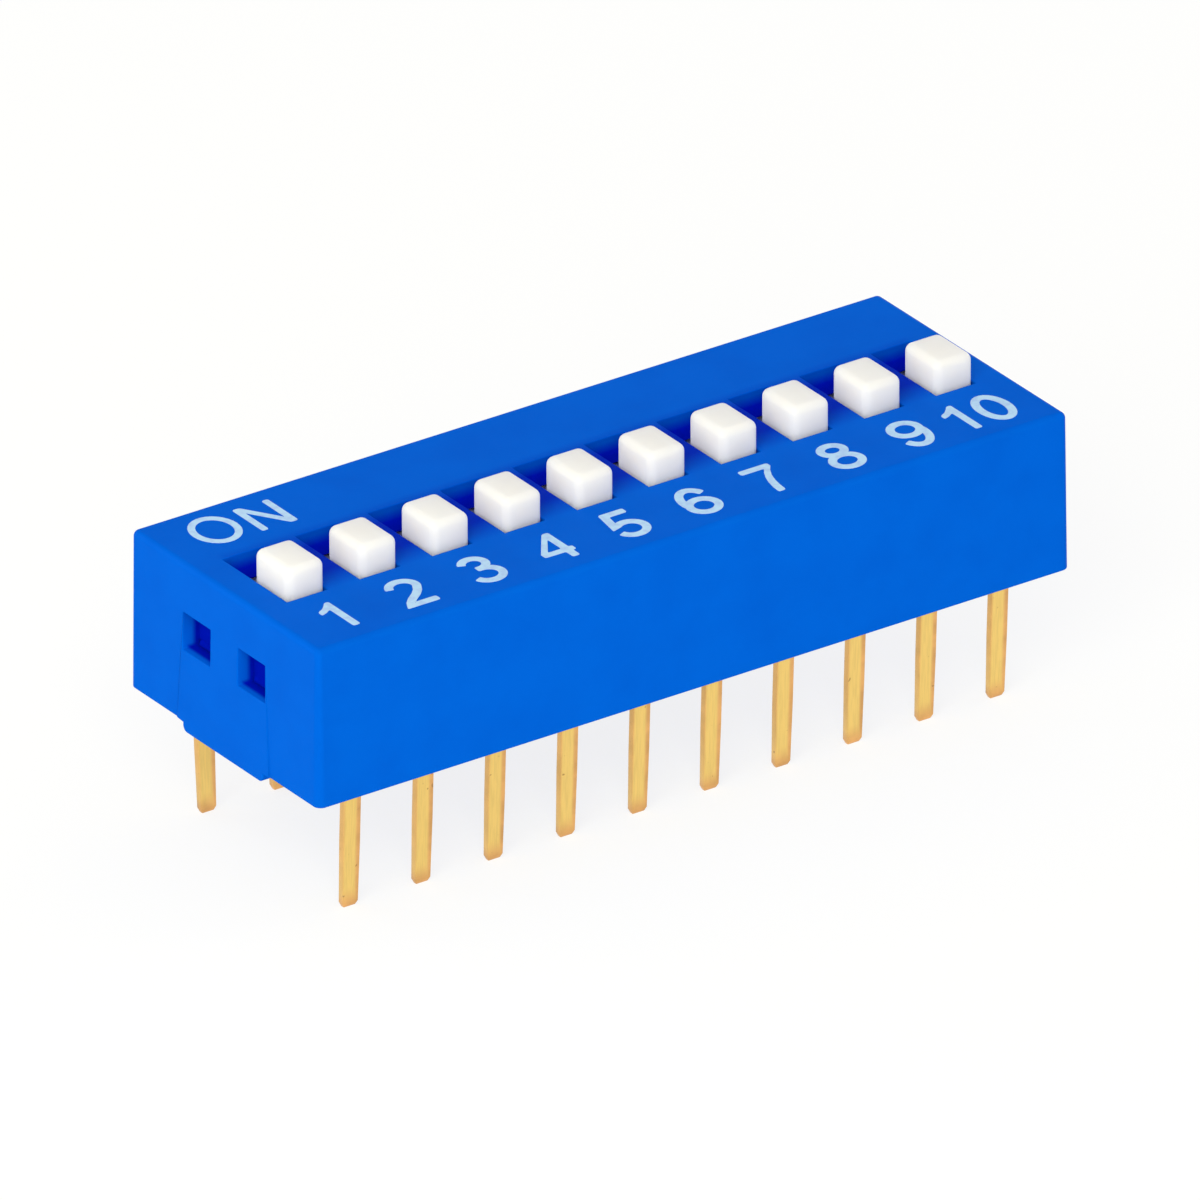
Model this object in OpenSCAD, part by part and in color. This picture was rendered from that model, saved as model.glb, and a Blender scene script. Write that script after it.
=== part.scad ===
// A slide-type DIP switch for through-hole boards: one small sliding actuator
// for each pole, in a two-row package. Millimetres, +Z up. X runs along the
// poles with pole 1 at -X, the numbered edge faces -Y and ON is towards +Y.
// z = 0 is the surface of the board that the package stands on.

/* [Layout] */
// Number of poles
poles = 10; // [2:1:12]
// Distance from one pole to the next
pitch = 2.54; // [2.12:0.01:3.05]
// Distance between the centres of the two rows of pins
row_gap = 7.62; // [7:0.01:9.2]

/* [Cover] */
// From the centre of the last pole to the end of the cover's top
end_margin = 1.78; // [1.6:0.01:2.1]
// From the centre of a pin row to the long edge of the cover's top
side_margin = 0.96; // [0.85:0.01:1.15]
// Thickness of the long walls at the top
side_wall = 0.6; // [0.5:0.01:0.72]
// Thickness of the end walls at the top
end_wall = 0.58; // [0.48:0.01:0.7]
// Thickness of the top, round the slots
top_wall = 0.93; // [0.78:0.01:1.11]
// Height of the skirt's lower edge above the board
skirt_z = 0.29; // [0.24:0.01:0.35]
// Draft of the outer walls in degrees
draft = 0.7; // [0:0.1:2]
// Radius of the top edges and of the upright corners at the top
edge_r = 0.2; // [0.1:0.01:0.3]

/* [Latches] */
// Width of each window in an end wall
window_wid = 1.4; // [1.17:0.01:1.68]
// Height of each window
window_ht = 1.2; // [1:0.01:1.44]
// Distance between the centres of the two windows
window_gap = 2.8; // [2.4:0.05:3.3]
// Height of the windows' sills above the contact floor
sill_rise = 0.55; // [0.46:0.01:0.66]
// Width of the latch pad at the skirt's lower edge
pad_wid = 4.7; // [4.4:0.05:5.6]
// How far the latch pad stands proud there
pad_proud = 0.04; // [0.03:0.01:0.1]
// Width of the tab below the pad, which stands on the board
tab_wid = 4.08; // [3.4:0.02:4.3]
// Radius of the tab's lower corners
tab_r = 0.2; // [0.1:0.01:0.24]
// Thickness of the base's latch arms
arm_thk = 0.4; // [0.33:0.01:0.48]
// Clearance on each side of a barb in its window
barb_gap = 0.1; // [0.06:0.01:0.12]
// How far a barb reaches into its window
barb_reach = 0.15; // [0.12:0.01:0.2]
// Height of a barb, from its window's sill
barb_ht = 0.25; // [0.2:0.01:0.3]
// Height of the barb's upright face
barb_land = 0.08; // [0.04:0.01:0.12]
// Room for the arms beyond the outer side of each window
pocket_room = 0.25; // [0.2:0.01:0.3]

/* [Slots and actuators] */
// Width of an actuator's knob, along the row
knob_wid = 1.32; // [1.1:0.01:1.58]
// Length of the knob, along its travel
knob_len = 1.77; // [1.48:0.01:2.1]
// Height of the knob above the cover
knob_ht = 0.98; // [0.82:0.01:1.18]
// Radius of the knob's edges
knob_r = 0.2; // [0.1:0.01:0.25]
// Length of a slot, along the travel
slot_len = 3.32; // [2.8:0.01:4]
// Width of the foot that rides under the cover
foot_wid = 1.9; // [1.6:0.01:2]
// Thickness of the foot
foot_thk = 0.6; // [0.5:0.01:0.72]
// Bevel along the foot's upper ends
foot_bevel = 0.15; // [0.1:0.01:0.2]
// Room left at each end of the foot's travel
foot_end_gap = 0.55; // [0.45:0.01:0.66]
// Room in the cage past each wiper's lowest point
cage_room = 0.28; // [0.24:0.01:0.34]
// Thickness of the cage's side walls, and half that of its end walls
cage_wall = 0.16; // [0.13:0.01:0.19]

/* [Base] */
// Thickness of the base, up to its contact floor
base_thk = 1.65; // [1.38:0.01:1.98]
// How far the base's underside sits up inside the skirt
base_recess = 0.1; // [0:0.01:0.12]
// Width of the standoff spine between the rows of pins
spine_wid = 4.1; // [3.4:0.05:4.9]
// Height of the partitions between poles
partition_ht = 0.8; // [0.66:0.01:0.96]
// Room round each pin in its well
well_margin = 0.25; // [0.2:0.01:0.3]
// Depth of the wells
well_depth = 0.2; // [0.1:0.01:0.25]

/* [Terminals] */
// Thickness of the terminal strip
strip_thk = 0.25; // [0.21:0.01:0.3]
// Width of a pin
pin_wid = 0.59; // [0.5:0.01:0.7]
// Length of a pin below the board's surface
pin_len = 3.85; // [3.2:0.05:4.7]
// How far the pins lean in towards each other, in degrees
toe_angle = 2.6; // [0:0.1:4]
// Width of the shoulder that anchors a pin in the base
shoulder_wid = 0.95; // [0.8:0.01:1.1]
// Height of the shoulder above the base's underside
shoulder_rise = 0.41; // [0.35:0.01:0.48]
// Width of a contact pad
pad_strip_wid = 1.2; // [1:0.01:1.44]
// Inside radius of the bend
bend_r = 0.12; // [0.1:0.01:0.15]
// Length of the pin's tapered part, up from its tip
taper_len = 2.1; // [1.8:0.05:2.5]
// Width of the pin where the taper ends
tip_wid = 0.53; // [0.44:0.01:0.6]
// Length of the coined point at the pin's tip
tip_len = 0.15; // [0.1:0.01:0.3]
// How far each side of the tip is coined in
tip_inset = 0.06; // [0.04:0.01:0.08]

/* [Contacts] */
// Distance between a contact's two wipers
wiper_span = 2.4; // [2.1:0.01:2.8]
// Width of the bare land between the two pads
land_len = 0.55; // [0.46:0.01:0.66]
// Thickness of the contact's leaf
leaf_thk = 0.12; // [0.1:0.01:0.14]
// Width of the contact
contact_wid = 0.9; // [0.76:0.01:1]
// Width of the slit that splits each wiper in two
wiper_slit = 0.2; // [0.16:0.01:0.24]
// Room between the contact floor and the foot
contact_room = 1.75; // [1.46:0.01:2.1]
// Steepness of a contact's legs in degrees
leg_angle = 75; // [70:1:80]
// Radius of the leaf where it turns down
knee_r = 0.3; // [0.25:0.01:0.34]
// Radius of the wipers' tips
wiper_r = 0.25; // [0.2:0.01:0.3]
// Angle that each wiper curls up again past its lowest point
curl_angle = 60; // [50:1:70]
// Radius of the stake that holds the contact
stake_r = 0.17; // [0.14:0.01:0.2]

/* [Fits] */
// Running clearance on each side of a slider
run_fit = 0.05; // [0.04:0.01:0.06]
// Clearance at the stops
stop_fit = 0.03; // [0.02:0.01:0.04]
// Clearance between the base and the cover
seat_fit = 0.05; // [0.04:0.01:0.06]
// Clearance between the wipers and the pads
wiper_fit = 0.03; // [0.02:0.01:0.04]

/* [Hidden] */
$fn = 32;
// How far a cutter runs past the face that it opens
over = 0.2;
// Straight steps in each bend of a contact's leaf
arc_steps = 8;

// Heights, stacked up from the board
base_z = skirt_z + base_recess;
floor_z = base_z + base_thk;
foot_z = floor_z + contact_room;
ceiling_z = foot_z + foot_thk + run_fit;
top_z = ceiling_z + top_wall;
knob_z = top_z + knob_ht;
sill_z = floor_z + sill_rise;
lintel_z = sill_z + window_ht;
rib_z = floor_z + partition_ht;
cage_z = foot_z - (contact_room - wiper_r - leaf_thk);

// Half sizes of the package
cover_hx = (poles - 1) * pitch / 2 + end_margin;
cover_hy = row_gap / 2 + side_margin;
cavity_hx = cover_hx - end_wall;
cavity_hy = cover_hy - side_wall;
base_hx = cavity_hx - seat_fit;
base_hy = cavity_hy - seat_fit;
flare = (top_z - edge_r - skirt_z) * tan(draft);
pad_head = (window_gap + window_wid) / 2;

// Slides
travel = slot_len - knob_len - 2 * stop_fit;
rest_y = -travel / 2;
foot_len = 2 * (cavity_hy - foot_end_gap) - travel;
cage_wid = contact_wid + 2 * (run_fit + cage_wall);
cage_len = wiper_span + 2 * (cage_room + 2 * cage_wall);

// The land lies under the inner wiper when the slide is off
land_y = (wiper_span - travel) / 2;
bend_out = bend_r + strip_thk;

function pole_x(i) = (i - (poles + 1) / 2) * pitch;
function wall_x(z) = cover_hx + (top_z - edge_r - z) * tan(draft);

// How far a pin has leant in at height z
function toe(z) = max(0, base_z - z) * tan(toe_angle);

function reversed(list) = [for (k = [len(list) - 1 : -1 : 0]) list[k]];
function arc_points(centre, r, a0, a1) =
    [for (k = [0 : arc_steps]) let (a = a0 + (a1 - a0) * k / arc_steps) centre + r * [cos(a), sin(a)]];

// ---- Shared forms ----

// Runs a Y-Z outline along X
module along_x(len) {
    rotate([90, 0, 90]) linear_extrude(len, center = true) children();
}

// Runs an X-Z outline along Y
module along_y(len) {
    rotate([90, 0, 0]) linear_extrude(len, center = true) children();
}

// A section with plumb or flared sides and two round top corners
module crowned_section(half, z0, z1, r, out) {
    polygon([[-half - out, z0], [half + out, z0], [half, z1 - r], [-half, z1 - r]]);
    for (s = [-1, 1]) translate([s * (half - r), z1 - r]) circle(r);
    translate([r - half, z1 - r]) square([2 * (half - r), r]);
}

// A block with round top edges and upright corners, flared by out at its foot
module crowned_block(hx, hy, z0, z1, r, out = 0) {
    along_y(2 * (hy - r)) crowned_section(hx, z0, z1, r, out);
    along_x(2 * (hx - r)) crowned_section(hy, z0, z1, r, out);
    for (sx = [-1, 1], sy = [-1, 1]) translate([sx * (hx - r), sy * (hy - r), 0]) {
        translate([0, 0, z0]) cylinder(h = z1 - r - z0, r1 = r + out, r2 = r);
        translate([0, 0, z1 - r]) sphere(r);
    }
}

// A cube centred on X and Y that stands on z0
module block(size, z0) {
    translate([-size[0] / 2, -size[1] / 2, z0]) cube(size);
}

// Copies its children to both ends of the package, mirrored
module both_ends() {
    for (s = [0, 1]) mirror([s, 0, 0]) children();
}

// ---- Cover ----

// The slightly proud pad on an end wall, with a tab that stands on the board
module latch_pad() {
    foot = pad_wid / 2;
    tab = tab_wid / 2 - tab_r;
    intersection() {
        along_y(pad_wid) polygon([
            [cavity_hx, 0], [wall_x(skirt_z) + pad_proud, 0], [wall_x(skirt_z) + pad_proud, skirt_z],
            [wall_x(lintel_z), lintel_z], [cavity_hx, lintel_z]
        ]);
        along_x(4 * cover_hx) {
            polygon([[-foot, skirt_z], [foot, skirt_z], [pad_head, lintel_z], [-pad_head, lintel_z]]);
            for (s = [-1, 1]) translate([s * tab, tab_r]) circle(tab_r);
            translate([-tab, 0]) square([2 * tab, skirt_z]);
            translate([-tab - tab_r, tab_r]) square([tab_wid, skirt_z]);
        }
    }
}

// What is taken out of an end wall: two windows, and room for the arms
module latch_openings() {
    pocket_x = base_hx - arm_thk - seat_fit;
    pocket_hy = pad_head + pocket_room;
    for (s = [-1, 1]) translate([cavity_hx - over, s * window_gap / 2 - window_wid / 2, sill_z])
        cube([end_wall + 2 * over + flare + pad_proud, window_wid, window_ht]);
    translate([pocket_x, -pocket_hy, rib_z - over])
        cube([cavity_hx - pocket_x, 2 * pocket_hy, lintel_z - rib_z + over]);
}

module cover() {
    color("royalblue") difference() {
        union() {
            crowned_block(cover_hx, cover_hy, skirt_z, top_z, edge_r, flare);
            both_ends() latch_pad();
        }
        // The lower cavity takes the base
        block([2 * cavity_hx, 2 * cavity_hy, rib_z + over], -over);
        // One channel for each foot leaves a rib between poles
        for (i = [1 : poles]) translate([pole_x(i), 0, 0]) {
            block([foot_wid + 2 * run_fit, 2 * cavity_hy, ceiling_z - rib_z + over], rib_z - over);
            block([knob_wid + 2 * run_fit, slot_len, top_wall + 2 * over], ceiling_z - over);
        }
        both_ends() latch_openings();
    }
}

// ---- Terminals ----

// Side view of a terminal of the back row, from the end of its pad to its tip
module terminal_side(pad_end) {
    outer = row_gap / 2 + strip_thk / 2;
    inner = outer - strip_thk;
    bend_y = outer - bend_out;
    bend_z = floor_z - bend_out;
    point_z = tip_len - pin_len;
    translate([pad_end, floor_z - strip_thk]) square([bend_y - pad_end, strip_thk]);
    intersection() {
        translate([bend_y, bend_z]) difference() {
            circle(bend_out);
            circle(bend_r);
        }
        translate([bend_y, bend_z]) square(bend_out);
    }
    polygon([
        [inner, bend_z], [inner, base_z], [inner - toe(point_z), point_z],
        [inner - toe(-pin_len) + tip_inset, -pin_len],
        [outer - toe(-pin_len) - tip_inset, -pin_len],
        [outer - toe(point_z), point_z], [outer, base_z], [outer, bend_z]
    ]);
}

// Front view of a terminal: pin, shoulder and pad
module terminal_front_view() {
    shoulder_z = base_z + shoulder_rise;
    pad_z = floor_z - bend_out;
    right = [
        [tip_wid / 2 - tip_inset, -pin_len], [tip_wid / 2, tip_len - pin_len],
        [pin_wid / 2, taper_len - pin_len],
        [pin_wid / 2, shoulder_z], [shoulder_wid / 2, shoulder_z],
        [shoulder_wid / 2, pad_z], [pad_strip_wid / 2, pad_z], [pad_strip_wid / 2, floor_z]
    ];
    polygon(concat(right, [for (p = reversed(right)) [-p[0], p[1]]]));
}

// A terminal of the back row, whose pad reaches in to pad_end
module terminal(pad_end) {
    intersection() {
        along_x(2 * pad_strip_wid) terminal_side(pad_end);
        along_y(2 * row_gap) terminal_front_view();
    }
}

module terminal_front(i) {
    color("goldenrod") translate([pole_x(i), 0, 0])
        mirror([0, 1, 0]) terminal(land_len / 2 - land_y);
}

module terminal_back(i) {
    color("goldenrod") translate([pole_x(i), 0, 0]) terminal(land_len / 2 + land_y);
}

// ---- Base ----

// A latch arm of the +X end, with a barb that rests on the window's sill
module latch_arm() {
    inner = base_hx - arm_thk;
    barb_x = base_hx + barb_reach;
    barb_z = sill_z + seat_fit / 2;
    tip_z = sill_z + barb_ht;
    along_y(window_wid - 2 * barb_gap) polygon([
        [inner, floor_z - over], [base_hx, floor_z - over], [base_hx, barb_z],
        [barb_x, barb_z], [barb_x, barb_z + barb_land], [base_hx, tip_z], [inner, tip_z]
    ]);
}

module base() {
    color("mediumblue") difference() {
        union() {
            block([2 * base_hx, 2 * base_hy, base_thk], base_z);
            block([2 * base_hx, spine_wid, base_z + over], 0);
            for (i = [1 : poles - 1]) translate([(pole_x(i) + pole_x(i + 1)) / 2, 0, 0])
                block([pitch - foot_wid - 2 * run_fit, 2 * base_hy, partition_ht], floor_z);
            both_ends() for (s = [-1, 1]) translate([0, s * window_gap / 2, 0]) latch_arm();
        }
        // The terminals are moulded in, flush with the contact floor
        for (i = [1 : poles]) {
            terminal_front(i);
            terminal_back(i);
            for (s = [-1, 1]) translate([pole_x(i), s * row_gap / 2, 0])
                block([pin_wid + 2 * well_margin, strip_thk + 2 * well_margin, well_depth + over],
                    base_z - over);
        }
    }
}

// ---- Actuators ----

// The foot's side view has bevelled upper ends, so that it rides over the ribs
module foot_section() {
    end = foot_len / 2;
    upper = foot_z + foot_thk;
    polygon([
        [-end, foot_z], [end, foot_z], [end, upper - foot_bevel], [end - foot_bevel, upper],
        [foot_bevel - end, upper], [-end, upper - foot_bevel]
    ]);
}

module actuator(i) {
    color("white") translate([pole_x(i), rest_y, 0]) {
        crowned_block(knob_wid / 2, knob_len / 2, foot_z + foot_thk / 2, knob_z, knob_r);
        along_x(foot_wid) foot_section();
        difference() {
            block([cage_wid, cage_len, foot_z - cage_z + foot_thk / 2], cage_z);
            block([cage_wid - 2 * cage_wall, cage_len - 4 * cage_wall, foot_z - cage_z + over],
                cage_z - over);
        }
        translate([0, 0, foot_z - 2 * leaf_thk]) cylinder(h = 3 * leaf_thk, r = stake_r);
    }
}

// ---- Contacts ----

// The leaf's side view, one strip from curled tip to curled tip
module leaf() {
    half_thk = leaf_thk / 2;
    tip = [wiper_span / 2, floor_z + wiper_fit + half_thk + wiper_r];
    knee_z = foot_z - half_thk - knee_r;
    drop = knee_z + (knee_r + wiper_r) * cos(leg_angle) - tip[1];
    knee_y = tip[0] - (knee_r + wiper_r) * sin(leg_angle) - drop / tan(leg_angle);
    knee = [knee_y, knee_z];
    right = concat(
        arc_points(knee, knee_r + half_thk, 90, 90 - leg_angle),
        arc_points(tip, wiper_r - half_thk, 270 - leg_angle, 270 + curl_angle),
        arc_points(tip, wiper_r + half_thk, 270 + curl_angle, 270 - leg_angle),
        arc_points(knee, knee_r - half_thk, 90 - leg_angle, 90)
    );
    polygon(concat(right, [for (p = reversed(right)) [-p[0], p[1]]]));
}

module contact(i) {
    color("gold") translate([pole_x(i), rest_y, 0]) difference() {
        along_x(contact_wid) leaf();
        translate([0, 0, foot_z - leaf_thk - over])
            cylinder(h = leaf_thk + 2 * over, r = stake_r + stop_fit);
        block([wiper_slit, wiper_span + 4 * wiper_r, contact_room / 2], floor_z);
    }
}

cover();
base();
for (i = [1 : poles]) {
    actuator(i);
    contact(i);
    terminal_front(i);
    terminal_back(i);
}
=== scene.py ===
import math

import bpy
from bpy.props import FloatProperty, FloatVectorProperty, PointerProperty
from bpy.types import Operator, Panel, PropertyGroup
from mathutils import Matrix, Vector


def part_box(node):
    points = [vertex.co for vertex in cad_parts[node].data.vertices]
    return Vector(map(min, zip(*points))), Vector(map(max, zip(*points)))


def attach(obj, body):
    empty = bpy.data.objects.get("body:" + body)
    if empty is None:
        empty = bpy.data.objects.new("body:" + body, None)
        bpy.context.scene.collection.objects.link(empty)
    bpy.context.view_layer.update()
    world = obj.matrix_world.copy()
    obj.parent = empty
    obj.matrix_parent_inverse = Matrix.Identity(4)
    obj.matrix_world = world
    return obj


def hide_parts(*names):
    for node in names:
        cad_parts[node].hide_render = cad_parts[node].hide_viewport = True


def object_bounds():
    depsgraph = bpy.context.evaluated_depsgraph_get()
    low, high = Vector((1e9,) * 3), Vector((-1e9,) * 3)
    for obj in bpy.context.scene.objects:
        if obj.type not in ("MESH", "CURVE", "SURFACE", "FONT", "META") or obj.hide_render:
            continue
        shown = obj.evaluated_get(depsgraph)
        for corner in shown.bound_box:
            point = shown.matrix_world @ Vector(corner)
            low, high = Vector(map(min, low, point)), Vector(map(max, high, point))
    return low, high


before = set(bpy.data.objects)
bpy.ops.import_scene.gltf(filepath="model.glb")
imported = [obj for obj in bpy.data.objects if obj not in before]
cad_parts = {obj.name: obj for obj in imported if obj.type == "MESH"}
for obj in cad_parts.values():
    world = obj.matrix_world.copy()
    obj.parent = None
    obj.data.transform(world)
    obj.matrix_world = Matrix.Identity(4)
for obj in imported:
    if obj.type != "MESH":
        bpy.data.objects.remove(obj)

CAD_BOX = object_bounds()

bl_info = {
    "name": "DIP Switch Finish",
    "version": (1, 0, 0),
    "blender": (4, 5, 0),
    "location": "3D View > Sidebar > DIP Switch",
    "description": "Moulded, plated and printed finish for a through-hole DIP switch",
    "category": "Object",
}

MM = 0.001
POLES = sum(name.startswith("actuator_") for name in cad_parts)
MIDDLE_POLE = (POLES + 1) / 2
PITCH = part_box("actuator_2")[0].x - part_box("actuator_1")[0].x
COVER_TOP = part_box("cover")[1].z
PIN_TIPS = CAD_BOX[0].z
# Faces that meet at less than this are smoothed into one another
SMOOTH_BELOW = math.radians(40)
# A noise stays between these values nearly everywhere
NOISE_LOW, NOISE_HIGH = 0.3, 0.7


# ---- Sizes and colours that a user would change ----


class SwitchPlastics(PropertyGroup):
    cover_colour: FloatVectorProperty(
        name="Cover", description="Colour of the blue mouldings", subtype="COLOR", size=3,
        min=0.0, max=1.0, default=(0.0, 0.115, 0.68),
    )
    cover_deep: FloatVectorProperty(
        name="Cover, deep", description="Darker tone in the mottling of the blue mouldings",
        subtype="COLOR", size=3, min=0.0, max=1.0, default=(0.0, 0.106, 0.65),
    )
    # Painted shade: the deep tone inside the slots
    recess_colour: FloatVectorProperty(
        name="Recesses", description="Deep tone of the blue mouldings inside the slots",
        subtype="COLOR", size=3, min=0.0, max=1.0, default=(0.0, 0.011, 0.71),
    )
    # Painted shadow: the knobs' cast shadow on the cover's top between them
    land_colour: FloatVectorProperty(
        name="Lands", description="Deep tone of the cover's top between the knobs",
        subtype="COLOR", size=3, min=0.0, max=1.0, default=(0.0, 0.024, 0.52),
    )
    # Painted shade: the darkest tone, in the latch windows, on their sills and on the latch tips
    window_colour: FloatVectorProperty(
        name="Windows", description="Darkest tone of the blue mouldings, in the latch windows",
        subtype="COLOR", size=3, min=0.0, max=1.0, default=(0.0, 0.009, 0.50),
    )
    # Painted shade: a bluish tone for the blue light that the feet get inside the cover
    foot_colour: FloatVectorProperty(
        name="Actuator feet", description="Bluish tone of the actuators' feet under the cover",
        subtype="COLOR", size=3, min=0.0, max=1.0, default=(0.88, 0.92, 1.0),
    )
    knob_colour: FloatVectorProperty(
        name="Actuators", description="Colour of the white mouldings", subtype="COLOR", size=3,
        min=0.0, max=1.0, default=(0.83, 0.81, 0.79),
    )
    knob_warm: FloatVectorProperty(
        name="Actuators, warm", description="Warmer tone in the mottling of the white mouldings",
        subtype="COLOR", size=3, min=0.0, max=1.0, default=(0.815, 0.785, 0.76),
    )
    edge_round: FloatProperty(
        name="Edge rounding", description="Width of the soft edge round slots and windows",
        subtype="DISTANCE", unit="LENGTH", min=0.0, default=0.035 * MM,
    )
    knob_round: FloatProperty(
        name="Knob rounding", description="Radius of the knobs' soft edges",
        subtype="DISTANCE", unit="LENGTH", min=0.0, default=0.25 * MM,
    )
    grain: FloatProperty(
        name="Grain", description="Size of the moulded surface grain",
        subtype="DISTANCE", unit="LENGTH", min=0.0, default=0.09 * MM,
    )


class SwitchMetals(PropertyGroup):
    gold: FloatVectorProperty(
        name="Plating", description="Colour of the gold plating", subtype="COLOR", size=3,
        min=0.0, max=1.0, default=(0.91, 0.63, 0.19),
    )
    # The strips' edges take this browner tone as a painted reflection; the tips take it too
    tarnish: FloatVectorProperty(
        name="Edge tone", description="Browner tone of the plating towards the strips' edges",
        subtype="COLOR", size=3, min=0.0, max=1.0, default=(0.66, 0.36, 0.13),
    )
    streak: FloatProperty(
        name="Streaks", description="Width of the drawn streaks along each pin",
        subtype="DISTANCE", unit="LENGTH", min=0.0, default=0.05 * MM,
    )


class SwitchPrint(PropertyGroup):
    cap_height: FloatProperty(
        name="Cap height", description="Height of the printed characters",
        subtype="DISTANCE", unit="LENGTH", min=0.0, default=1.72 * MM,
    )
    stroke: FloatProperty(
        name="Stroke", description="Width of the printed strokes",
        subtype="DISTANCE", unit="LENGTH", min=0.0, default=0.262 * MM,
    )
    on_stroke: FloatProperty(
        name="ON stroke", description="Width of the strokes of the word ON",
        subtype="DISTANCE", unit="LENGTH", min=0.0, default=0.225 * MM,
    )
    corner_round: FloatProperty(
        name="Corner rounding", description="How far the ink rounds off a sharp corner",
        subtype="DISTANCE", unit="LENGTH", min=0.0, default=0.08 * MM,
    )
    ink_height: FloatProperty(
        name="Ink height", description="How far the ink stands above the cover",
        subtype="DISTANCE", unit="LENGTH", min=0.0, default=0.012 * MM,
    )
    ink_colour: FloatVectorProperty(
        name="Ink", description="Colour of the printed characters", subtype="COLOR", size=3,
        min=0.0, max=1.0, default=(0.46, 0.69, 0.94),
    )
    number_row: FloatProperty(
        name="Number row", description="Foot of the row of numbers, from the cover's middle",
        subtype="DISTANCE", unit="LENGTH", default=-4.09 * MM,
    )
    number_pitch: FloatProperty(
        name="Number pitch", description="Distance from one number to the next",
        subtype="DISTANCE", unit="LENGTH", default=2.518 * MM,
    )
    number_shift: FloatProperty(
        name="Number shift", description="Shift of the row of numbers along the part",
        subtype="DISTANCE", unit="LENGTH", default=-0.085 * MM,
    )
    number_slope: FloatProperty(
        name="Number slope", description="Drop of the row of numbers for each unit of length",
        default=0.004,
    )
    end_room: FloatProperty(
        name="End room", description="Least distance from a number to the cover's end",
        subtype="DISTANCE", unit="LENGTH", default=1.065 * MM,
    )
    on_row: FloatProperty(
        name="ON row", description="Foot of the word ON, from the cover's middle",
        subtype="DISTANCE", unit="LENGTH", default=2.428 * MM,
    )
    on_start: FloatProperty(
        name="ON start", description="Left edge of the word ON, from the cover's middle",
        subtype="DISTANCE", unit="LENGTH", default=-12.05 * MM,
    )


class SwitchStudio(PropertyGroup):
    azimuth: FloatProperty(
        name="Azimuth", description="Camera's turn round the part from its numbered edge",
        subtype="ANGLE", unit="ROTATION", default=math.radians(-34.69),
    )
    elevation: FloatProperty(
        name="Elevation", description="Camera's height above the horizon",
        subtype="ANGLE", unit="ROTATION", default=math.radians(27.07),
    )
    roll: FloatProperty(
        name="Roll", description="Camera's turn about its own axis",
        subtype="ANGLE", unit="ROTATION", default=math.radians(-0.245),
    )
    distance: FloatProperty(
        name="Distance", description="From the camera to the middle of the seating plane",
        subtype="DISTANCE", unit="LENGTH", min=0.1, default=1132.4 * MM,
    )
    aim: FloatVectorProperty(
        name="Aim", description="Shift of the camera to its right and up",
        subtype="TRANSLATION", unit="LENGTH", size=2, default=(-0.042 * MM, 1.031 * MM),
    )
    lens: FloatProperty(
        name="Lens", description="Focal length in millimetres for a 36 mm sensor",
        min=1.0, default=1170.6,
    )
    sky: FloatProperty(
        name="Sky", description="Level of the even light from all round", min=0.0, default=0.48,
    )
    key: FloatProperty(
        name="Key", description="Power of the large lamp to the left of the camera",
        subtype="POWER", unit="POWER", min=0.0, default=0.86,
    )
    fill: FloatProperty(
        name="Fill", description="Power of the lamp overhead", subtype="POWER",
        unit="POWER", min=0.0, default=0.03,
    )
    back: FloatProperty(
        name="Back", description="Power of the lamp behind and of the one at the far end",
        subtype="POWER", unit="POWER", min=0.0, default=0.32,
    )


class SwitchSettings(PropertyGroup):
    plastics: PointerProperty(type=SwitchPlastics)
    metals: PointerProperty(type=SwitchMetals)
    print: PointerProperty(type=SwitchPrint)
    studio: PointerProperty(type=SwitchStudio)


def settings(context):
    return context.scene.dip_switch


# ---- Node helpers ----


def new_material(name, roughness, specular, metallic=0.0):
    """A material with a Principled shader, whose even values are set on its own sockets."""
    material = bpy.data.materials.new(name)
    material.use_nodes = True
    shader = material.node_tree.nodes["Principled BSDF"]
    shader.inputs["Roughness"].default_value = roughness
    shader.inputs["Specular IOR Level"].default_value = specular
    shader.inputs["Metallic"].default_value = metallic
    return material, shader


def object_coordinates(tree, stretch=(1.0, 1.0, 1.0)):
    """Object coordinates, drawn out by the given factors."""
    coordinates = tree.nodes.new("ShaderNodeTexCoord")
    mapping = tree.nodes.new("ShaderNodeMapping")
    mapping.inputs["Scale"].default_value = stretch
    tree.links.new(coordinates.outputs["Object"], mapping.inputs["Vector"])
    return mapping.outputs["Vector"]


def noise(tree, vector, size, detail=2.0):
    """A noise whose features are about size across, in metres."""
    node = tree.nodes.new("ShaderNodeTexNoise")
    node.inputs["Scale"].default_value = 1.0 / size
    node.inputs["Detail"].default_value = detail
    tree.links.new(vector, node.inputs["Vector"])
    return node.outputs["Fac"]


def ramp(tree, factor, stops):
    """A colour ramp through (position, colour) stops."""
    node = tree.nodes.new("ShaderNodeValToRGB")
    elements = node.color_ramp.elements
    while len(elements) < len(stops):
        elements.new(1.0)
    for element, (position, colour) in zip(elements, stops):
        element.position = position
        element.color = (*colour, 1.0)
    tree.links.new(factor, node.inputs["Fac"])
    return node.outputs["Color"]


def spread(tree, factor, low, high):
    """Maps a noise's usual range to low and high."""
    node = tree.nodes.new("ShaderNodeMapRange")
    node.inputs["From Min"].default_value = NOISE_LOW
    node.inputs["From Max"].default_value = NOISE_HIGH
    node.inputs["To Min"].default_value = low
    node.inputs["To Max"].default_value = high
    tree.links.new(factor, node.inputs["Value"])
    return node.outputs["Result"]


def blend_colours(tree, factor, first, second):
    """Mixes two colour outputs by a factor."""
    node = tree.nodes.new("ShaderNodeMix")
    node.data_type = "RGBA"
    tree.links.new(factor, node.inputs["Factor"])
    tree.links.new(first, node.inputs[6])
    tree.links.new(second, node.inputs[7])
    return node.outputs[2]


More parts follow.
